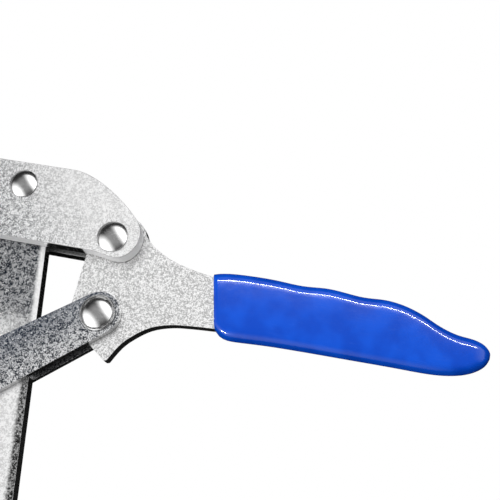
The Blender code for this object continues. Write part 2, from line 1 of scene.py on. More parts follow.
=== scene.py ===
# %% [markdown]
# # Toggle-locking pliers in pressed, zinc-plated steel
#
# Two thick body plates hold everything between them: a lever with a dipped vinyl grip, a flat
# bar that is the other handle, a link made of two straps, and a clamp jaw. Each layer is a flat
# plate, so the tool reads through its edges, its rivets and the grain of its plating.
#
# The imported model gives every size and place. This lesson loads it, lights it like a bench
# picture on white, and then remakes each piece with the small shapes and finishes that a solid
# model leaves out: rolled edges, polished rivet heads, a soft dipped grip and a cut thread.

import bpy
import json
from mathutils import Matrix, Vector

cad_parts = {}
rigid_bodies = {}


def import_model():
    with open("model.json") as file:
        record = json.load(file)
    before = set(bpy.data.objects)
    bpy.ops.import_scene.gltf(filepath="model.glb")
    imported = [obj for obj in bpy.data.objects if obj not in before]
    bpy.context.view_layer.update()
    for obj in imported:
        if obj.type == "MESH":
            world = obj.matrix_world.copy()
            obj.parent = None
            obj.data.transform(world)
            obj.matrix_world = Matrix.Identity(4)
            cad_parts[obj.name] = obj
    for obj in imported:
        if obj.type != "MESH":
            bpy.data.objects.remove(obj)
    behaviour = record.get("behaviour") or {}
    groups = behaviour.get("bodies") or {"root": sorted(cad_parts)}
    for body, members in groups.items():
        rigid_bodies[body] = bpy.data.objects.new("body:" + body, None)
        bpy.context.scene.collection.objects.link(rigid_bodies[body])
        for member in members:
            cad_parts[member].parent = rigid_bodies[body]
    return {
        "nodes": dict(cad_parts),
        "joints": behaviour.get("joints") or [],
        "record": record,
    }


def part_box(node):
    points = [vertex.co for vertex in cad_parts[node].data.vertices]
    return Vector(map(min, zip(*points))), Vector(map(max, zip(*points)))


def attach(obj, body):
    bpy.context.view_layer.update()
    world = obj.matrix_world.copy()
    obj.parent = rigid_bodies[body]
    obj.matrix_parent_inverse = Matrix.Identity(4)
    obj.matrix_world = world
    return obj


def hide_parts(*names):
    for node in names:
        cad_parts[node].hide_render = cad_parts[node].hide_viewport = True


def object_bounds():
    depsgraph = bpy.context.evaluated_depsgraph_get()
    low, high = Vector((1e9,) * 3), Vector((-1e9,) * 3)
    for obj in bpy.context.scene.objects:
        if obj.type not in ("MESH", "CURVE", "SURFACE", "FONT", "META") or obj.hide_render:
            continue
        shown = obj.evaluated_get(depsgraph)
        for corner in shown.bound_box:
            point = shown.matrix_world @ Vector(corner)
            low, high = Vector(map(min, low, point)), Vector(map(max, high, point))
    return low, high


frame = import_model()
cad_low, cad_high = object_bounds()

# %% Names that the later cells share
import json
import math

import bmesh
import bpy
import numpy as np
from mathutils import Quaternion, Vector
from mathutils.bvhtree import BVHTree

MM = 0.001
NODES = frame["nodes"]
JOINT_AT = {j["name"]: Vector(j.get("pos_m") or (0, 0, 0)) for j in frame["joints"]}
LEVER_PIVOT = JOINT_AT["lever_pivot"]
BODY_OF = {n: b for b, members in frame["record"]["behaviour"]["bodies"].items() for n in members}
print(len(BODY_OF), "solids, lever pivot at", [round(v / MM, 1) for v in LEVER_PIVOT])


def middle(node):
    low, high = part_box(node)
    return (low + high) / 2


# %% [markdown]
# ## The camera
#
# The tool lies flat and the camera looks down on it from the grip's side, turned a little about
# its own axis. A lens close to 60 mm from about a third of a metre gives the slight narrowing
# of a close picture. The camera could be placed by hand, but three angles and a distance are
# easier to read and to change.

# %% The camera
VIEW_AZIMUTH = math.radians(29.847)
VIEW_ELEVATION = math.radians(68.206)
VIEW_ROLL = math.radians(18.533)
VIEW_DISTANCE = 0.336985
VIEW_LENS = 58.896
AIM = LEVER_PIVOT + Vector((55.71, 7.24, 0)) * MM  # the point in the middle of the view

back = Vector(
    (
        math.sin(VIEW_AZIMUTH) * math.cos(VIEW_ELEVATION),
        -math.cos(VIEW_AZIMUTH) * math.cos(VIEW_ELEVATION),
        math.sin(VIEW_ELEVATION),
    )
)
camera = bpy.data.objects.new("camera", bpy.data.cameras.new("camera"))
bpy.context.scene.collection.objects.link(camera)
camera.data.lens = VIEW_LENS
camera.data.clip_start = 0.01
camera.rotation_mode = "QUATERNION"
camera.rotation_quaternion = (-back).to_track_quat("-Z", "Y") @ Quaternion((0, 0, 1), -VIEW_ROLL)
camera.location = AIM + back * VIEW_DISTANCE
bpy.context.scene.camera = camera
print("camera at", [round(v, 4) for v in camera.location])

# %% [markdown]
# ## The light
#
# Polished domes show the whole studio, so the studio's shape matters more than its strength.
# Two broad soft sources stand on either side of the tool with a dark gap between them, which
# runs over the tool like the shadow of the camera boom. Domes then show two bright lobes and a
# dark band, while the satin plates blur the same sky into an even grey. The near source is the
# weaker one and begins farther from the gap, which moves the dark band to one side. A grey
# ceiling closes the gap high up.
#
# The sources could be lamps with softboxes. A sky made from one direction and a height is
# smoother, and nothing of it can get into a picture from another side.

# %% Small helpers for node trees


def add(tree, kind, inputs=None, **settings):
    """A node with its settings; an input takes a value, or a socket that feeds it."""
    node = tree.nodes.new(kind)
    for key, value in settings.items():
        setattr(node, key, value)
    for key, value in (inputs or {}).items():
        if isinstance(value, bpy.types.NodeSocket):
            tree.links.new(value, node.inputs[key])
        else:
            node.inputs[key].default_value = value
    return node


def maths(tree, operation, a, b=0.0, clamp=False):
    return add(tree, "ShaderNodeMath", {0: a, 1: b}, operation=operation, use_clamp=clamp).outputs[0]


def ramp(tree, value, low, high, out_low=0.0, out_high=1.0, smooth=True):
    """Maps low..high to out_low..out_high, held at both ends."""
    kind = "SMOOTHSTEP" if smooth else "LINEAR"
    sockets = {0: value, 1: low, 2: high, 3: out_low, 4: out_high}
    return add(tree, "ShaderNodeMapRange", sockets, interpolation_type=kind).outputs[0]


def blend_colour(tree, mask, a, b):
    mix = add(tree, "ShaderNodeMix", data_type="RGBA")
    for socket, value in ((mix.inputs[0], mask), (mix.inputs[6], a), (mix.inputs[7], b)):
        if isinstance(value, bpy.types.NodeSocket):
            tree.links.new(value, socket)
        elif isinstance(value, (int, float)):
            socket.default_value = value
        else:
            socket.default_value = (*value, 1.0) if len(value) == 3 else value
    return mix.outputs[2]


# %% The sky
ACROSS_GAP = Vector((0.66, 0.74, -0.13)).normalized()  # from one soft source to the other
FAR_EDGE = (0.08, 0.85)  # where the gap ends and the far source is full
NEAR_EDGE = (0.40, 0.98)  # the same on the near side
FAR_SOURCE = 2.8
NEAR_SOURCE = 1.9
OVERHEAD = 0.32  # grey ceiling in the gap
HORIZON = 0.03  # unlit room low down
ROOM_RISE = (0.35, 0.97)  # heights from unlit room to full ceiling
CROSSING = (-0.5, 0.3)  # from the near side of the gap to the far side
SOURCE_FOOT = (0.02, 0.30)  # height at which a source starts, near and far
FOOT_SOFT = 0.22

world = bpy.data.worlds.new("studio")
bpy.context.scene.world = world
world.use_nodes = True
sky = world.node_tree
sky.nodes.clear()
toward = add(sky, "ShaderNodeTexCoord").outputs["Generated"]
side = add(sky, "ShaderNodeVectorMath", {0: toward, 1: ACROSS_GAP}, operation="DOT_PRODUCT")
near = maths(sky, "MULTIPLY", side.outputs["Value"], -1.0)
lobes = maths(sky, "ADD", ramp(sky, side.outputs["Value"], *FAR_EDGE, 0.0, FAR_SOURCE),
              ramp(sky, near, *NEAR_EDGE, 0.0, NEAR_SOURCE))
height = add(sky, "ShaderNodeSeparateXYZ", {0: toward}).outputs["Z"]
foot = ramp(sky, side.outputs["Value"], *CROSSING, *SOURCE_FOOT)
low_edge = ramp(sky, maths(sky, "SUBTRACT", height, foot), 0.0, FOOT_SOFT)
room = ramp(sky, height, *ROOM_RISE, HORIZON, OVERHEAD)
lit = maths(sky, "MULTIPLY", lobes, low_edge)
strength = maths(sky, "ADD", room, lit)
studio = add(sky, "ShaderNodeBackground", {0: (1, 1, 1, 1), 1: strength})
paper = add(sky, "ShaderNodeBackground", {0: (1, 1, 1, 1), 1: 1.0})
seen = add(sky, "ShaderNodeLightPath").outputs["Is Camera Ray"]
choose = add(sky, "ShaderNodeMixShader", {0: seen, 1: studio.outputs[0], 2: paper.outputs[0]})
add(sky, "ShaderNodeOutputWorld", {0: choose.outputs[0]})
bpy.context.scene.view_settings.view_transform = "Standard"
print("sources", FAR_SOURCE, NEAR_SOURCE, "ceiling", OVERHEAD)

# %% [markdown]
# ## The floor
#
# The tool lies on a plain white sweep. The sweep shows white, but gives the steel a dark
# surface to reflect. That is what a cut-out product picture looks like: pure white all round,
# and sheared edges that read nearly black.

# %% The floor
FLOOR_SIZE = 6.0
paper_floor = bpy.data.materials.new("white_sweep")
paper_floor.use_nodes = True
tree = paper_floor.node_tree
tree.nodes.clear()
glow = add(tree, "ShaderNodeEmission", {0: (1, 1, 1, 1), 1: 1.0})
dull = add(tree, "ShaderNodeBsdfDiffuse", {0: (0.02, 0.02, 0.02, 1)})
seen = add(tree, "ShaderNodeLightPath").outputs["Is Camera Ray"]
both = add(tree, "ShaderNodeMixShader", {0: seen, 1: dull.outputs[0], 2: glow.outputs[0]})
add(tree, "ShaderNodeOutputMaterial", {0: both.outputs[0]})

sheet = bpy.data.meshes.new("floor")
half = FLOOR_SIZE / 2
corners = [(-half, -half, 0), (half, -half, 0), (half, half, 0), (-half, half, 0)]
sheet.from_pydata(corners, [], [(0, 1, 2, 3)])
sheet.materials.append(paper_floor)
floor = bpy.data.objects.new("floor", sheet)
floor.location.z = cad_low.z - 0.2 * MM
bpy.context.scene.collection.objects.link(floor)
print("floor at", round(floor.location.z / MM, 2), "mm")

# %% [markdown]
# ## Effects that several finishes share
#
# Zinc plating over hot-rolled plate looks like salt and pepper: small dull pits, small bright
# crystals, and a slow drift in tone from one end of a plate to the other. The same three
# effects, in different strengths, make the body, the straps, the bar and the lever. On the bar
# the drift also carries painted shade and a painted highlight. Each is a node group with its
# own inputs, so a finish only states its values.

# %% Grain, drift and scratches as node groups


def group(name, inputs, outputs):
    """An empty node group, with float or vector inputs and float outputs."""
    made = bpy.data.node_groups.new(name, "ShaderNodeTree")
    for label, value in inputs.items():
        kind = "NodeSocketVector" if isinstance(value, tuple) else "NodeSocketFloat"
        socket = made.interface.new_socket(label, in_out="INPUT", socket_type=kind)
        socket.default_value = value
    for label in outputs:
        made.interface.new_socket(label, in_out="OUTPUT", socket_type="NodeSocketFloat")
    return made, add(made, "NodeGroupInput"), add(made, "NodeGroupOutput")


def place_mm(tree):
    """The point on the piece in millimetres, so a grain size is a real size."""
    spot = add(tree, "ShaderNodeTexCoord").outputs["Object"]
    return add(tree, "ShaderNodeVectorMath", {0: spot, 3: 1000.0}, operation="SCALE").outputs[0]


GRAIN_GAIN = 4.2  # spreads the noise's narrow middle over dull to bright
BUMP_DEPTH = 0.05 * MM


def make_grain():
    tree, given, out = group(
        "plating_grain", {"Size": 0.6, "Contrast": 1.0}, ("Tone", "Sparkle", "Height")
    )
    spot = place_mm(tree)
    rate = maths(tree, "DIVIDE", 1.0, given.outputs["Size"])
    slow_rate = maths(tree, "MULTIPLY", rate, 0.42)
    fine = add(tree, "ShaderNodeTexNoise", {0: spot, "Scale": rate, "Detail": 2.0, "Roughness": 0.7})
    slow = add(tree, "ShaderNodeTexNoise", {0: spot, "Scale": slow_rate, "Detail": 1.0})
    tone = maths(tree, "ADD", maths(tree, "MULTIPLY", fine.outputs[0], 0.68),
                 maths(tree, "MULTIPLY", slow.outputs[0], 0.32))
    tone = maths(tree, "MULTIPLY", maths(tree, "SUBTRACT", tone, 0.5), GRAIN_GAIN)
    tone = maths(tree, "MULTIPLY", tone, given.outputs["Contrast"])
    tone = maths(tree, "ADD", tone, 0.5, clamp=True)
    cells = add(tree, "ShaderNodeTexVoronoi", {0: spot, "Scale": maths(tree, "MULTIPLY", rate, 0.8)})
    chance = add(tree, "ShaderNodeSeparateColor", {0: cells.outputs["Color"]}).outputs[0]
    near = ramp(tree, cells.outputs["Distance"], 0.2, 0.5, 1.0, 0.0)
    spark = maths(tree, "MULTIPLY", ramp(tree, chance, 0.80, 0.92), near)
    tree.links.new(tone, out.inputs["Tone"])
    tree.links.new(spark, out.inputs["Sparkle"])
    tree.links.new(maths(tree, "ADD", tone, spark), out.inputs["Height"])
    return tree


def make_drift():
    """Slow change of tone: along one direction in the plate, broken up by a soft noise."""
    tree, given, out = group(
        "tone_drift", {"Along": (1.0, 0.0, 0.0), "Start": 0.0, "End": 100.0, "Patches": 0.3}, ("Mask",)
    )
    spot = place_mm(tree)
    dot = add(tree, "ShaderNodeVectorMath", {0: spot, 1: given.outputs["Along"]}, operation="DOT_PRODUCT")
    cloud = add(tree, "ShaderNodeTexNoise", {0: spot, "Scale": 0.07, "Detail": 3.0})
    shift = maths(tree, "SUBTRACT", cloud.outputs[0], 0.5)
    shift = maths(tree, "MULTIPLY", shift, given.outputs["Patches"])
    flow = add(tree, "ShaderNodeMapRange", {0: dot.outputs["Value"], 1: given.outputs["Start"],
                                            2: given.outputs["End"]}, interpolation_type="SMOOTHSTEP")
    tree.links.new(maths(tree, "ADD", flow.outputs[0], shift, clamp=True), out.inputs["Mask"])
    return tree


def make_scratches():
    """Fine handling marks: thin lines where a stretched noise crosses its middle value."""
    inputs = {"Turn": (0.0, 0.0, 0.6), "Stretch": (0.05, 1.6, 0.4), "Fineness": 0.02}
    tree, given, out = group("handling_marks", inputs, ("Mask",))
    spot = place_mm(tree)
    turned_spot = add(tree, "ShaderNodeMapping", {0: spot, "Rotation": given.outputs["Turn"],
                                                  "Scale": given.outputs["Stretch"]})
    noise = add(tree, "ShaderNodeTexNoise", {0: turned_spot.outputs[0], "Scale": 1.0, "Detail": 3.0})
    off = maths(tree, "ABSOLUTE", maths(tree, "SUBTRACT", noise.outputs[0], 0.5))
    line = add(tree, "ShaderNodeMapRange", {0: off, 1: 0.0, 2: given.outputs["Fineness"], 3: 1.0, 4: 0.0})
    rare = add(tree, "ShaderNodeTexNoise", {0: spot, "Scale": 0.12, "Detail": 1.0})
    kept = maths(tree, "MULTIPLY", line.outputs[0], ramp(tree, rare.outputs[0], 0.48, 0.62))
    tree.links.new(kept, out.inputs["Mask"])
    return tree


GRAIN = make_grain()
DRIFT = make_drift()
SCRATCHES = make_scratches()
print("shared effects:", GRAIN.name, DRIFT.name, SCRATCHES.name)

# %% [markdown]
# ## The steel finishes
#
# Every steel surface is a metal with a colour that flickers between a dull and a bright tone.
# The grain also moves the roughness and raises a small bump, so the flicker changes with the
# light and is not just painted on. A drift takes a plate from one pair of tones to another
# towards one end or side of it. On the bar the drifts are painted light: painted shade where
# it runs in under the body plates, a painted highlight along its near edge, and paler tones
# lower down, out of that painted shade.

# %% Steel


def use(tree, effect, **values):
    """Places a shared effect in a material with its own values."""
    node = add(tree, "ShaderNodeGroup", node_tree=effect)
    for label, value in values.items():
        node.inputs[label].default_value = value
    return node


def start_material(name):
    made = bpy.data.materials.new(name)
    made.use_nodes = True
    return made, made.node_tree, made.node_tree.nodes["Principled BSDF"]


def steel(name, base, drifts=(), size=0.6, contrast=1.0, sparkle=0.6, rough=(0.32, 0.46), bump=0.25):
    """Plated steel. base is a dull and a bright colour; each drift leads to another such pair
    where all of its reaches meet."""
    made, tree, shader = start_material(name)
    grain = use(tree, GRAIN, Size=size, Contrast=contrast)
    colour = blend_colour(tree, grain.outputs["Tone"], *base)
    for dull, bright, *reaches in drifts:
        mask = 1.0
        for along, start, end, patches in reaches:
            drift = use(tree, DRIFT, Along=along, Start=start, End=end, Patches=patches)
            mask = maths(tree, "MULTIPLY", mask, drift.outputs["Mask"])
        far = blend_colour(tree, grain.outputs["Tone"], dull, bright)
        colour = blend_colour(tree, mask, colour, far)
    marks = use(tree, SCRATCHES).outputs["Mask"]
    colour = blend_colour(tree, maths(tree, "MULTIPLY", marks, 0.25), colour, (0.86, 0.87, 0.88))
    glint = maths(tree, "MULTIPLY", grain.outputs["Sparkle"], sparkle)
    colour = blend_colour(tree, glint, colour, (1.0, 1.0, 1.0))
    tree.links.new(colour, shader.inputs["Base Color"])
    shader.inputs["Metallic"].default_value = 1.0
    tree.links.new(ramp(tree, grain.outputs["Tone"], 0, 1, rough[1], rough[0]), shader.inputs["Roughness"])
    raised = maths(tree, "SUBTRACT", grain.outputs["Height"], maths(tree, "MULTIPLY", marks, 0.5))
    relief = add(tree, "ShaderNodeBump", {"Height": raised, "Strength": bump, "Distance": BUMP_DEPTH})
    tree.links.new(relief.outputs[0], shader.inputs["Normal"])
    return made


def grey(level, blue=0.0):
    return (level - blue * 0.5, level, level + blue)


def reach_along(direction, start, end, patches):
    """A drift that starts and ends at these distances (mm) from the lever pivot."""
    base = LEVER_PIVOT.dot(direction) / MM
    return (tuple(direction), base + start, base + end, patches)


TOWARDS_ARM = Vector((-0.75, -0.66, 0))
LINK_ACROSS = Vector((0.6246, -0.7809, 0))
BAR_ACROSS = Vector((0.9833, 0.1822, 0))
BAR_EDGE = -30.6  # the bar's near edge, across from the lever pivot
DOWN = Vector((0, -1, 0))
body_face = steel("body_plate_face", (grey(0.66), grey(1.0)),
                  [(grey(0.12, 0.01), grey(0.92, 0.01), reach_along(TOWARDS_ARM, 0.0, 46.0, 0.5))],
                  size=0.5, contrast=1.9)
lever_face = steel("lever_face", (grey(0.46), grey(1.0)),
                   [(grey(0.30), grey(1.0), reach_along(Vector((0.6, 0.8, 0)), 10.0, 44.0, 0.4))],
                   size=0.5, sparkle=0.25, contrast=2.0)
strap_face = steel("strap_face", (grey(0.03, 0.02), grey(0.30, 0.03)),
                   [(grey(0.04, 0.01), grey(0.74, 0.01), reach_along(LINK_ACROSS, 14.0, 36.0, 0.5))],
                   size=0.55, sparkle=0.9, contrast=2.5)
# Painted light on the bar: its dark base tones are painted shade where it runs in under the body plates;
# the first drift is a painted highlight along its near edge; the second makes it pale lower down, out of
# that painted shade; the third darkens it again near that edge at the lower end.
bar_face_painted_light = steel("bar_face_painted_light", (grey(0.02, 0.01), grey(0.40, 0.01)),
                 [(grey(0.90), grey(1.0), reach_along(BAR_ACROSS, BAR_EDGE - 3.4, BAR_EDGE - 1.2, 0.15)),
                  (grey(0.72), grey(1.0), reach_along(DOWN, 31.0, 52.0, 0.4)),
                  (grey(0.01), grey(0.36), reach_along(DOWN, 44.0, 52.0, 0.1),
                   reach_along(BAR_ACROSS, BAR_EDGE - 4.2, BAR_EDGE - 1.8, 0.4))],
                 size=0.65, contrast=2.8)
jaw_face = steel("jaw_face", (grey(0.48), grey(0.90)),
                 [(grey(0.30), grey(0.84), reach_along(Vector((-1, 0, 0)), 120.0, 230.0, 0.5))])
washer_face = steel("washer_face", (grey(0.30), grey(1.0)), size=0.8, contrast=2.0)
print("steel faces:", body_face.name, lever_face.name, strap_face.name, bar_face_painted_light.name)

# %% [markdown]
# ### Sheared edges and rolled corners
#
# A press shears each plate. The cut wall is smoother than the face and shows lines down the
# thickness. The corner is rolled over and draws a thin line round the plate: dull on most
# plates, and on the straps painted white, a painted highlight, on the side that faces away from
# the lever pivot. Both are their own materials on the same piece, so that the line is real
# shape; the straps' pale side is painted. Two spans of the front plate's cut wall are painted
# white as well, a painted reflection of the bright faces just below that wall.

# %% Edge finishes
# Spans of the front plate's wall that carry a painted reflection of the bright faces below it.
PAINTED_REFLECTION_SPANS = [(-75.0, -28.8), (-11.3, 14.9)]  # on the front plate, mm from the lever pivot
SPAN_SOFT = 0.6  # half the fade at each end of a span, mm


def sheared_wall(name="sheared_wall", reflection_spans=()):
    """The cut wall of a plate. The second argument lists spans in x, from the lever pivot, that are
    painted white: a painted reflection of the bright faces below the wall.
    """
    made, tree, shader = start_material(name)
    spot = place_mm(tree)
    streaks = add(tree, "ShaderNodeMapping", {0: spot, "Scale": (2.2, 2.2, 0.15)})
    lines = add(tree, "ShaderNodeTexNoise", {0: streaks.outputs[0], "Scale": 1.0, "Detail": 3.0})
    colour = blend_colour(tree, ramp(tree, lines.outputs[0], 0.3, 0.7), grey(0.50), grey(0.74))
    across = add(tree, "ShaderNodeSeparateXYZ", {0: spot}).outputs["X"]
    pivot = LEVER_PIVOT.x / MM
    # Painted reflection: over the listed spans the wall is white, rough and not metal.
    painted_reflection_mask = 0.0
    for start, end in reflection_spans:
        first = ramp(tree, across, pivot + start - SPAN_SOFT, pivot + start + SPAN_SOFT)
        last = ramp(tree, across, pivot + end - SPAN_SOFT, pivot + end + SPAN_SOFT, 1.0, 0.0)
        painted_reflection_mask = maths(tree, "ADD", painted_reflection_mask, maths(tree, "MULTIPLY", first, last), clamp=True)
    colour = blend_colour(tree, painted_reflection_mask, colour, (1.0, 1.0, 1.0))
    tree.links.new(colour, shader.inputs["Base Color"])
    tree.links.new(maths(tree, "SUBTRACT", 1.0, painted_reflection_mask), shader.inputs["Metallic"])
    smooth = ramp(tree, lines.outputs[0], 0.2, 0.8, 0.18, 0.30)
    rough = maths(tree, "ADD", smooth, maths(tree, "MULTIPLY", painted_reflection_mask, 0.3))
    tree.links.new(rough, shader.inputs["Roughness"])
    relief = add(tree, "ShaderNodeBump", {"Height": lines.outputs[0], "Strength": 0.15,
                                          "Distance": BUMP_DEPTH})
    tree.links.new(relief.outputs[0], shader.inputs["Normal"])
    return made


def polished(name, dull, bright, rough, size, bump=0.04, painted_highlight_side=None):
    """Bright zinc, rubbed smooth: a faint grain and a few handling marks. Where the surface
    faces the given side it is painted white and not metal: a painted highlight on that side."""
    made, tree, shader = start_material(name)
    grain = use(tree, GRAIN, Size=size, Contrast=0.7)
    marks = use(tree, SCRATCHES, Stretch=(0.12, 2.4, 0.8)).outputs["Mask"]
    colour = blend_colour(tree, grain.outputs["Tone"], grey(dull), grey(bright))
    colour = blend_colour(tree, maths(tree, "MULTIPLY", marks, 0.3), colour, grey(0.97))
    shader.inputs["Metallic"].default_value = 1.0
    # Painted highlight: white and not metal where the surface faces the given side.
    if painted_highlight_side is not None:
        faces = add(tree, "ShaderNodeTexCoord").outputs["Normal"]
        toward = add(tree, "ShaderNodeVectorMath", {0: faces, 1: painted_highlight_side}, operation="DOT_PRODUCT")
        painted_highlight_mask = ramp(tree, toward.outputs["Value"], 0.25, 0.45)
        colour = blend_colour(tree, painted_highlight_mask, colour, (1.0, 1.0, 1.0))
        tree.links.new(maths(tree, "SUBTRACT", 1.0, painted_highlight_mask), shader.inputs["Metallic"])
    tree.links.new(colour, shader.inputs["Base Color"])
    scuffed = maths(tree, "MULTIPLY", marks, 0.12)
    tree.links.new(maths(tree, "ADD", ramp(tree, grain.outputs["Tone"], 0, 1, rough[0], rough[1]), scuffed),
                   shader.inputs["Roughness"])
    relief = add(tree, "ShaderNodeBump", {"Height": grain.outputs["Height"], "Strength": bump,
                                          "Distance": BUMP_DEPTH})
    tree.links.new(relief.outputs[0], shader.inputs["Normal"])
    return made


wall = sheared_wall()
# The front plate's wall, with a painted reflection along two spans.
painted_reflection_wall = sheared_wall("painted_reflection_wall", PAINTED_REFLECTION_SPANS)
rolled_corner = polished("rolled_corner", 0.34, 0.48, (0.24, 0.34), 1.6)
# The straps' corners carry a painted highlight on the side that faces LINK_ACROSS.
strap_corner = polished("strap_corner", 0.86, 1.0, (0.24, 0.34), 1.6, painted_highlight_side=LINK_ACROSS)
rivet_polish = polished("rivet_polish", 0.74, 0.86, (0.13, 0.20), 1.4)
washer_polish = polished("washer_polish", 0.82, 0.95, (0.18, 0.28), 1.2)
oiled_black = polished("oiled_black", 0.10, 0.17, (0.24, 0.36), 0.9, bump=0.12)
print("edges:", wall.name, rolled_corner.name, "| turned:", rivet_polish.name, oiled_black.name)

# %% [markdown]
# ### Dipped vinyl
#
# The grip is a thick skin of plastisol that the hot handle picks up in a dip tank. It is glossy,
# slightly uneven, and a little deeper in colour in its hollows. A clear coat layer gives the
# sharp highlight, and a low broad bump makes that highlight waver as it does on the real skin.

# %% Vinyl


def dipped_vinyl():
    made, tree, shader = start_material("dipped_vinyl")
    spot = place_mm(tree)
    swell = add(tree, "ShaderNodeTexNoise", {0: spot, "Scale": 0.09, "Detail": 2.0})
    dust = add(tree, "ShaderNodeTexNoise", {0: spot, "Scale": 2.6, "Detail": 2.0})
    marks = use(tree, SCRATCHES, Stretch=(0.04, 0.9, 0.4), Fineness=0.014).outputs["Mask"]
    colour = blend_colour(tree, ramp(tree, swell.outputs[0], 0.35, 0.68), (0.0005, 0.021, 0.180),
                          (0.001, 0.029, 0.22))
    colour = blend_colour(tree, maths(tree, "MULTIPLY", ramp(tree, dust.outputs[0], 0.5, 0.8), 0.12),
                          colour, (0.006, 0.04, 0.24))
    colour = blend_colour(tree, maths(tree, "MULTIPLY", marks, 0.10), colour, (0.03, 0.08, 0.30))
    tree.links.new(colour, shader.inputs["Base Color"])
    tree.links.new(ramp(tree, dust.outputs[0], 0.3, 0.7, 0.15, 0.21), shader.inputs["Roughness"])
    shader.inputs["IOR"].default_value = 1.2
    shader.inputs["Coat Weight"].default_value = 0.4
    shader.inputs["Coat Roughness"].default_value = 0.06
    raised = maths(tree, "ADD", swell.outputs[0], maths(tree, "MULTIPLY", dust.outputs[0], 0.006))
    relief = add(tree, "ShaderNodeBump", {"Height": raised, "Strength": 0.35, "Distance": 0.4 * MM})
    tree.links.new(relief.outputs[0], shader.inputs["Normal"])
    return made


vinyl = dipped_vinyl()
print("grip skin:", vinyl.name)

# %% [markdown]
# ## Plates with rolled corners
#
# A press rolls the edge of a plate over as it cuts. To make that, the plate's own solid is
# copied, its flat faces are made whole again, and a Bevel modifier turns each sharp corner into
# two small steps with their own material. Modelling each bevel by hand would give the
# same shape, but the modifier keeps the width in one place.

# %% Copy a plate and roll its corners
CORNER_WIDTH = 0.45 * MM
STRAP_CORNER = 1.5  # the straps' corners are this many times wider
FLAT_ANGLE = math.radians(0.6)  # faces closer than this are one flat face
SMOOTH_ANGLE = math.radians(35)  # an edge blunter than this is shaded smooth
CORNER_ANGLE = math.radians(50)  # an edge sharper than this is rolled


def new_object(name, mesh):
    obj = bpy.data.objects.new(name, mesh)
    bpy.context.scene.collection.objects.link(obj)
    return obj


def stand_in(piece, node):
    """The finished piece takes the place of its solid, on the same body."""
    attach(piece, BODY_OF[node])
    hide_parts(node)
    return piece


def rolled_plate(name, node, face, cut=wall, rolled=rolled_corner):
    shape = bmesh.new()
    shape.from_mesh(NODES[node].data)
    bmesh.ops.remove_doubles(shape, verts=shape.verts, dist=2e-6)
    bmesh.ops.dissolve_limit(shape, angle_limit=FLAT_ANGLE, verts=shape.verts, edges=shape.edges)
    bmesh.ops.recalc_face_normals(shape, faces=shape.faces)
    for side in shape.faces:
        side.material_index = 0 if abs(side.normal.z) > 0.5 else 1
        side.smooth = True
    for edge in shape.edges:
        edge.smooth = len(edge.link_faces) == 2 and edge.calc_face_angle() < SMOOTH_ANGLE
    mesh = bpy.data.meshes.new(name)
    shape.to_mesh(mesh)
    shape.free()
    if "custom_normal" in mesh.attributes:
        mesh.attributes.remove(mesh.attributes["custom_normal"])
    for finish in (face, cut, rolled):
        mesh.materials.append(finish)
    piece = new_object(name, mesh)
    roll = piece.modifiers.new("rolled_corner", "BEVEL")
    roll.width = CORNER_WIDTH * (STRAP_CORNER if rolled is strap_corner else 1.0)
    roll.segments = 2
    roll.limit_method = "ANGLE"
    roll.angle_limit = CORNER_ANGLE
    roll.material = 2
    settle = piece.modifiers.new("flat_faces", "WEIGHTED_NORMAL")
    settle.keep_sharp = True
    return stand_in(piece, node)


plates = {
    "front_plate": ("front_body_plate", body_face),
    "rear_plate": ("rear_body_plate", body_face),
    "spacer_plate": ("frame_core_plate", jaw_face),
    "handle_bar": ("fixed_handle_bar", bar_face_painted_light),
    "lever": ("lever_plate", lever_face),
    "front_strap": ("front_link_strap", strap_face),
    "rear_strap": ("rear_link_strap", strap_face),
    "clamp_jaw": ("moving_jaw", jaw_face),
    "clamp_anvil": ("jaw_anvil", jaw_face),
    "screw_nut": ("spindle_nut", jaw_face),
}
for name, (node, face) in plates.items():
    made = rolled_plate(name, node, face, painted_reflection_wall if name == "front_plate" else wall,
                        strap_corner if "strap" in name else rolled_corner)
    print(name, len(made.data.polygons), "faces before the rolled corners")

# %% [markdown]
# ## Turned pieces: rivets and washers
#
# Rivets, washers, the pad and the sliding bar are all round, so one helper turns a profile
# about an axis. A head is a slice of a ball with a short straight land at its rim, as a rivet
# set leaves it. With 64 sides the rim stays round at this distance.

# %% Turn a profile
SIDES = 64


def turned(name, profile, at, axis="Z", sides=SIDES, finish=rivet_polish):
    """A solid turned from (radius, height) pairs in mm. It starts and ends on the axis, or else
    its ends are joined into a ring."""
    shape = bmesh.new()
    rings = []
    for radius, high in profile:
        turns = [2 * math.pi * i / sides for i in range(sides)] if radius > 0 else [0.0]
        spots = [(radius * math.cos(t), radius * math.sin(t), high) for t in turns]
        if axis == "Y":
            spots = [(y, z, x) for x, y, z in spots]
        if axis == "X":
            spots = [(z, x, y) for x, y, z in spots]
        rings.append([shape.verts.new(at + Vector(s) * MM) for s in spots])
    for lower, upper in zip(rings, rings[1:]):
        for i in range(sides):
            j = (i + 1) % sides
            corners = [lower[i % len(lower)], lower[j % len(lower)],
                       upper[j % len(upper)], upper[i % len(upper)]]
            shape.faces.new(list(dict.fromkeys(corners)))
    if profile[0][0] > 0:
        for i in range(sides):
            j = (i + 1) % sides
            shape.faces.new((rings[-1][i], rings[-1][j], rings[0][j], rings[0][i]))
    bmesh.ops.recalc_face_normals(shape, faces=shape.faces)
    mesh = bpy.data.meshes.new(name)
    shape.to_mesh(mesh)
    shape.free()
    mesh.shade_smooth()
    mesh.set_sharp_from_angle(angle=math.radians(40))
    mesh.materials.append(finish)
    return new_object(name, mesh)


# %% Rivets
HEAD_TALL = 3.0
HEAD_LAND = 0.4  # straight rim under the dome
HEAD_BREAK = 0.15  # broken corner under the rim
SHANK_R = 3.5
DOME_STEPS = 14


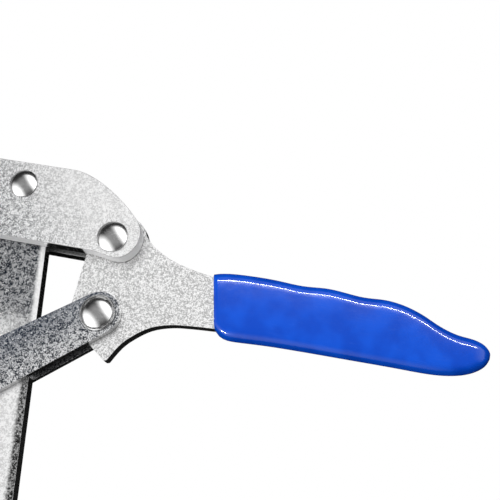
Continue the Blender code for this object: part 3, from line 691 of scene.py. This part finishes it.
def rivet(node):
    low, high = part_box(node)
    head_r = (high.x - low.x) / 2 / MM
    top = (high.z - low.z) / 2 / MM
    base = top - HEAD_TALL
    rise = HEAD_TALL - HEAD_LAND
    dome_r = (head_r**2 + rise**2) / (2 * rise)
    reach = math.asin(head_r / dome_r)
    upper = [(SHANK_R, base), (head_r - HEAD_BREAK, base), (head_r, base + HEAD_BREAK)]
    for step in range(DOME_STEPS):
        t = reach * (1 - step / DOME_STEPS)
        upper.append((dome_r * math.sin(t), top - dome_r * (1 - math.cos(t))))
    upper.append((0.0, top))
    lower = [(r, -h) for r, h in reversed(upper)]
    return stand_in(turned(node.replace("_rivet", "_polished_rivet"), lower + upper, middle(node)), node)


for node in sorted(n for n in NODES if n.endswith("_rivet")):
    rivet(node)
print("rivets:", sum(n.endswith("_rivet") for n in NODES))

# %% Washers
WASHER_BREAK = 0.28  # broken corner
WASHER_GAP = 0.3  # from the shank to the washer's hole


def washer(node):
    low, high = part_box(node)
    outer = (high.x - low.x) / 2 / MM
    half_thick = (high.z - low.z) / 2 / MM
    inner = SHANK_R + WASHER_GAP
    land = outer - WASHER_BREAK
    side = half_thick - WASHER_BREAK
    profile = [(inner, -half_thick), (land, -half_thick), (outer, -side)]
    profile += [(outer, side), (land, half_thick), (inner, half_thick)]
    made = turned(node.replace("_washer", "_bright_washer"), profile, middle(node), finish=washer_polish)
    made.data.materials.append(washer_face)
    for face in made.data.polygons:
        face.material_index = 1 if abs(face.normal.z) > 0.9 else 0
    return stand_in(made, node)


for node in sorted(n for n in NODES if n.endswith("_washer")):
    washer(node)
print("washers:", sum(n.endswith("_washer") for n in NODES))

# %% [markdown]
# ## The dipped grips
#
# A dipped skin follows the steel inside it, rounds every corner, and ends in a small rolled lip
# where it was cut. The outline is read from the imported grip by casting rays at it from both
# sides. Rings of a rounded section are then strung between the two outlines, from the lip to
# the tip. A remeshed and smoothed copy would be quicker, but it would lose the lip.

# %% Read a grip's outline
STATIONS = 90
OUTER_SHARE = 0.35  # points this far out, as a share of the widest, belong to a side
START_IN = 0.15 * MM
TIP_SHORT = 0.05 * MM
RAY_FROM = 0.05  # rays start this far to the side, m


def grip_outline(node):
    """Pairs of opposite outline points from the open end to the tip, in the plane of the plates."""
    solid = NODES[node].data
    points = np.array([v.co for v in solid.vertices])
    centre = middle(node)
    flat = points[:, :2] - np.array(centre[:2])
    axis = np.linalg.eigh(flat.T @ flat)[1][:, 1]
    far_side = np.array(LEVER_PIVOT[:2]) - np.array(centre[:2])
    if axis @ far_side > 0:
        axis = -axis
    across = np.array((-axis[1], axis[0]))
    run, off = flat @ axis, flat @ across
    tree = BVHTree.FromPolygons([v.co for v in solid.vertices], [p.vertices[:] for p in solid.polygons])
    tip = run.max() - TIP_SHORT
    sides = []
    for sign in (1, -1):
        outer = off * sign > OUTER_SHARE * np.abs(off).max()
        start = run[outer].min() + START_IN
        found = []
        for k in range(STATIONS + 1):
            s = start + (tip - start) * math.sin(math.pi / 2 * k / STATIONS)
            spot = np.array(centre[:2]) + axis * s + across * sign * RAY_FROM
            hit = tree.ray_cast(Vector((*spot, centre.z)), Vector((*(-sign * across), 0)))[0]
            found.append((s, float((np.array(hit[:2]) - np.array(centre[:2])) @ across)))
        sides.append(np.array(found))
    return centre, axis, across, sides


def soften(values, rounds=3):
    """Takes the facets out of an outline and leaves its ends alone."""
    for _ in range(rounds):
        values[1:-1] = (values[:-2] + 2 * values[1:-1] + values[2:]) / 4
    return values


# %% String rings along it
EDGE_STEPS = 9  # sides in each round edge
FACE_STEPS = 5  # sides in half of a broad face
SECTION_SIDES = 4 * (EDGE_STEPS + 1 + FACE_STEPS)
CROWN = 0.5 * MM  # swell of the broad faces
EDGE_R = 4.4 * MM
LIP = 0.5 * MM  # how far the rolled lip stands proud
SKIN_REACH = 4.0 * MM  # depth of the opening round the steel
STEEL_HALF = 2.3 * MM  # half thickness of that opening
STEEL_REACH = 10.9 * MM  # half width of it
OPENING_EDGE = 0.3 * MM
LIP_AT = 2.2 * MM  # from the open end to the lip's crest
LIP_SPREAD = 1.6 * MM
LIP_RINGS = ((1.5, 1.3, 0.0, 0.0, 2.2), (0.7, 0.5, 0.1, 0.1, 2.8))  # thinner, inset, slide, crown, edge
TIP_REACH = 7 * MM  # where the skin begins to taper to its tip
SKIN_LESS = 0.35 * MM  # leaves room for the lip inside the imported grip


def section(half_wide, half_thick, edge, crown):
    """One rounded section as (across, up) pairs: four round edges and two crowned broad faces."""
    edge = min(edge, half_wide * 0.98, (half_thick - crown) * 0.98)
    quarter = []
    for i in range(EDGE_STEPS + 1):
        t = math.pi / 2 * i / EDGE_STEPS
        out, up = edge * math.cos(t), edge * math.sin(t)
        quarter.append((half_wide - edge + out, half_thick - crown - edge + up))
    for i in range(1, FACE_STEPS + 1):
        quarter.append(((half_wide - edge) * (1 - i / (FACE_STEPS + 0.5)), half_thick - crown))
    quarter = [(a, b + crown * (1 - (a / half_wide) ** 2) * min(1.0, b / half_thick)) for a, b in quarter]
    upper = quarter + [(-a, b) for a, b in reversed(quarter)]
    return upper + [(-a, -b) for a, b in upper]


def dipped_grip(name, node):
    centre, axis, across, (left, right) = grip_outline(node)
    left[:, 1], right[:, 1] = soften(left[:, 1]), soften(right[:, 1])
    low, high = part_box(node)
    full = (high.z - low.z) / 2
    shape = bmesh.new()
    rings = []

    def string(a, b, half_thick, inset=0.0, slide=0.0, crown=CROWN, edge=EDGE_R):
        pa = np.array(centre[:2]) + axis * (a[0] + slide) + across * a[1]
        pb = np.array(centre[:2]) + axis * (b[0] + slide) + across * b[1]
        mid, half_wide = (pa + pb) / 2, max(np.linalg.norm(pa - pb) / 2 - inset, 1e-5)
        way = (pa - pb) / max(np.linalg.norm(pa - pb), 1e-9)
        ring = []
        for u, v in section(half_wide, half_thick, edge, crown):
            flat = mid + way * u
            ring.append(shape.verts.new((flat[0], flat[1], centre.z + v)))
        rings.append(ring)

    first_a, first_b = left[0], right[0]
    opening = np.linalg.norm(first_a - first_b) / 2 - STEEL_REACH
    for depth in (SKIN_REACH, 0.1 * MM):
        string(first_a, first_b, STEEL_HALF, opening, depth, 0.0, OPENING_EDGE)
    for thinner, inset, slide, crown, edge in LIP_RINGS:
        string(first_a, first_b, full - thinner * MM, inset * MM, slide * MM, crown * MM, edge * MM)
    for k in range(1, STATIONS + 1):
        a, b = left[k], right[k]
        along = min(a[0] - left[0][0], b[0] - right[0][0])
        lip = LIP * math.exp(-(((along - LIP_AT) / LIP_SPREAD) ** 2))
        to_tip = left[-1][0] - (a[0] + b[0]) / 2
        taper = math.sqrt(max(0.0, 1 - max(0.0, 1 - to_tip / TIP_REACH) ** 2))
        thick = (full - SKIN_LESS) * max(taper, 0.02) + lip * 0.6
        string(a, b, thick, 0.0, 0.0, CROWN * taper)
    for one, two in zip(rings, rings[1:]):
        for i in range(SECTION_SIDES):
            j = (i + 1) % SECTION_SIDES
            shape.faces.new((one[i], one[j], two[j], two[i]))
    shape.faces.new(rings[0])
    shape.faces.new(rings[-1])
    bmesh.ops.remove_doubles(shape, verts=shape.verts, dist=1e-7)
    bmesh.ops.recalc_face_normals(shape, faces=shape.faces)
    mesh = bpy.data.meshes.new(name)
    shape.to_mesh(mesh)
    shape.free()
    mesh.shade_smooth()
    mesh.materials.append(vinyl)
    piece = new_object(name, mesh)
    print(name, len(mesh.polygons), "faces")
    return stand_in(piece, node)


dipped_grip("lever_dipped_grip", "lever_grip")
dipped_grip("handle_dipped_grip", "fixed_handle_grip")

# %% [markdown]
# ### Panels for the vinyl and for the plates
#
# Glossy vinyl needs thin, bright sources to draw a crisp line along its edge, and the satin
# plates need a broad one above them. Either would flood the other pieces, and the polished
# domes show every source as a shape, so each panel lights only its own collection.

# %% Panels
grips_only = bpy.data.collections.new("grips_only")
plates_only = bpy.data.collections.new("plates_only")
for obj in list(bpy.context.scene.objects):
    if obj.name.endswith("_dipped_grip"):
        grips_only.objects.link(obj)
    elif obj.name in plates:
        plates_only.objects.link(obj)


def panel_light(name, node, toward, distance, size, power, receivers, aside=0.0):
    lamp = bpy.data.lights.new(name, "AREA")
    lamp.shape = "RECTANGLE"
    lamp.size, lamp.size_y = size
    lamp.energy = power
    obj = new_object(name, lamp)
    toward = Vector(toward).normalized()
    obj.location = middle(node) + toward * distance + Vector((aside, 0, 0))
    obj.rotation_mode = "QUATERNION"
    obj.rotation_quaternion = toward.to_track_quat("Z", "Y")
    obj.visible_camera = False
    obj.light_linking.receiver_collection = receivers
    return obj


panel_light("far_strip", "lever_grip", (-0.08, 0.50, 0.86), 0.9, (1.0, 0.03), 20.0, grips_only)
panel_light("near_strip", "lever_grip", (-0.15, -0.82, 0.56), 0.9, (0.2, 0.015), 14.0, grips_only, -0.27)
panel_light("plate_panel", "lever_plate", (-0.18, 0.32, 0.93), 1.2, (1.5, 1.5), 4.5, plates_only)

# %% [markdown]
# ## The clamp screw
#
# The screw carries a right-hand thread of 2 mm pitch, which is what its joint turns and feeds
# by. The thread is a height field: each point's radius depends on how far its height and its
# angle are from the crest. A Screw modifier could cut it too, but needs a second pass to close
# the ends.

# %% Spindle with its thread
PITCH = 2.0
THREAD_DEPTH = 0.95
HELIX_SIDES = 40
STEPS_PER_PITCH = 8
SCREW_R = 5.0
SCREW_HEAD_TALL = 16.0
SCREW_NECK_R = 3.0
SCREW_NECK_TALL = 6.7
NECK_BREAK = 0.6
CROSS_HOLE_R = 2.8
CROSS_HOLE_REACH = 12


def thread_radius(outer, height, turn):
    phase = (height / PITCH - turn / (2 * math.pi)) % 1.0
    ridge = abs(phase - 0.5) * 2  # 1 at the crest, 0 in the root
    return outer - THREAD_DEPTH * (1 - min(1.0, max(0.0, (ridge - 0.12) / 0.76)))


def spindle_piece():
    low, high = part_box("spindle")
    x, z = middle("spindle").x, middle("spindle").z
    head_r = (high.x - low.x) / 2 / MM
    total = (high.y - low.y) / MM
    shape = bmesh.new()
    thread_to = total - SCREW_HEAD_TALL
    root = SCREW_R - THREAD_DEPTH
    # (height, radius) from the pad's end up; None stands for a row of the thread
    rows = [(0.0, 0.0), (0.0, SCREW_NECK_R - NECK_BREAK), (NECK_BREAK, SCREW_NECK_R)]
    rows += [(SCREW_NECK_TALL, SCREW_NECK_R), (SCREW_NECK_TALL, root)]
    count = int((thread_to - SCREW_NECK_TALL - 1.0) / PITCH * STEPS_PER_PITCH)
    for k in range(count + 1):
        rows.append((SCREW_NECK_TALL + NECK_BREAK + k * PITCH / STEPS_PER_PITCH, None))
    rows += [(thread_to, root), (thread_to, head_r - 1), (thread_to + 1, head_r)]
    rows += [(total - 2, head_r), (total, head_r - 2), (total, 0.0)]
    rings = []
    for h, radius in rows:
        ring = []
        for i in range(HELIX_SIDES):
            t = 2 * math.pi * i / HELIX_SIDES
            r = thread_radius(SCREW_R, h, t) if radius is None else radius
            spot = (x + r * math.sin(t) * MM, low.y + h * MM, z + r * math.cos(t) * MM)
            ring.append(shape.verts.new(spot))
        rings.append(ring)
    for one, two in zip(rings, rings[1:]):
        for i in range(HELIX_SIDES):
            j = (i + 1) % HELIX_SIDES
            shape.faces.new((one[i], one[j], two[j], two[i]))
    bmesh.ops.remove_doubles(shape, verts=shape.verts, dist=1e-7)
    bmesh.ops.recalc_face_normals(shape, faces=shape.faces)
    mesh = bpy.data.meshes.new("clamp_screw")
    shape.to_mesh(mesh)
    shape.free()
    mesh.shade_smooth()
    mesh.set_sharp_from_angle(angle=math.radians(38))
    mesh.materials.append(oiled_black)
    piece = new_object("clamp_screw", mesh)
    eye_height = total - SCREW_HEAD_TALL / 2
    reach = CROSS_HOLE_REACH
    drill_profile = [(0, -reach), (CROSS_HOLE_R, -reach), (CROSS_HOLE_R, reach), (0, reach)]
    drill = turned("cross_hole", drill_profile, Vector((x, low.y + eye_height * MM, z)), "X", 32)
    drill.hide_render = True
    drill.hide_viewport = True
    hole = piece.modifiers.new("cross_hole", "BOOLEAN")
    hole.object = drill
    hole.solver = "EXACT"
    graph = bpy.context.evaluated_depsgraph_get()
    drilled = bpy.data.meshes.new_from_object(piece.evaluated_get(graph))
    piece.modifiers.clear()
    piece.data = drilled
    bpy.data.objects.remove(drill, do_unlink=True)
    return stand_in(piece, "spindle")


screw = spindle_piece()
print("clamp screw:", len(screw.data.polygons), "faces")

# %% Pad, ring and sliding bar
PAD_GROOVES = ((1.2, 2.4), (4.6, 5.8))  # inner and outer radius of each ring in its face
GROOVE_DEPTH = 0.25
SOCKET_R = 3.7
SOCKET_FLOOR = 2.0
RING_BORE_R = 3.3
BAR_BREAK = 0.5  # broken corners of the ring and the bar
KNOB_BORE_R = 2.8
KNOB_STEPS = 16


def socket_pad():
    low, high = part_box("spindle_pad")
    r = (high.x - low.x) / 2 / MM
    tall = (high.y - low.y) / MM
    at = Vector((middle("spindle_pad").x, low.y, middle("spindle_pad").z))
    profile = [(0, 0)]
    for inner, outer in PAD_GROOVES:
        profile += [(inner, 0), (inner, GROOVE_DEPTH), (outer, GROOVE_DEPTH), (outer, 0)]
    profile += [(r - 1, 0), (r - 0.3, 0.3), (r, 1), (r, tall - 1.9), (r - 0.4, tall - 1.4)]
    profile += [(r - 2.1, tall - 0.2), (r - 2.5, tall)]
    profile += [(SOCKET_R, tall), (SOCKET_R, SOCKET_FLOOR), (0, SOCKET_FLOOR)]
    return stand_in(turned("swivel_pad", profile, at, "Y", finish=oiled_black), "spindle_pad")


def retaining_ring():
    low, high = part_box("pad_retaining_ring")
    r = (high.x - low.x) / 2 / MM
    tall = (high.y - low.y) / MM
    at = Vector((middle("pad_retaining_ring").x, low.y, middle("pad_retaining_ring").z))
    profile = [(RING_BORE_R, 0), (r - BAR_BREAK, 0), (r, BAR_BREAK)]
    profile += [(r, tall - BAR_BREAK), (r - BAR_BREAK, tall), (RING_BORE_R, tall)]
    return stand_in(turned("snap_ring", profile, at, "Y", finish=washer_polish), "pad_retaining_ring")


def sliding_bar():
    low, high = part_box("tommy_bar")
    r = (high.z - low.z) / 2 / MM
    half = (high.x - low.x) / 2 / MM
    end = half - BAR_BREAK
    profile = [(0, -half), (r - BAR_BREAK, -half), (r, -end), (r, end), (r - BAR_BREAK, half), (0, half)]
    return stand_in(turned("sliding_bar", profile, middle("tommy_bar"), "X", 40), "tommy_bar")


def bar_knob(node, way):
    """A ball end, bored for the bar."""
    low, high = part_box(node)
    r = (high.z - low.z) / 2 / MM
    reach = way * (high.x - low.x) / 2 / MM
    mouth = math.acos(KNOB_BORE_R / r)
    profile = [(0, r * 0.15), (KNOB_BORE_R, r * 0.15), (KNOB_BORE_R, -r * math.sin(mouth))]
    for k in range(1, KNOB_STEPS):
        a = -mouth + (mouth + math.pi / 2) * k / KNOB_STEPS
        profile.append((r * math.cos(a), r * math.sin(a)))
    profile.append((0, r))
    at = Vector((middle(node).x + (reach - way * r) * MM, middle(node).y, middle(node).z))
    made = turned(node.replace("_knob", "_ball_end"), [(a, way * h) for a, h in profile], at, "X", 40)
    return stand_in(made, node)


socket_pad()
retaining_ring()
sliding_bar()
bar_knob("tommy_left_knob", -1)
bar_knob("tommy_right_knob", 1)
print("clamp end finished")
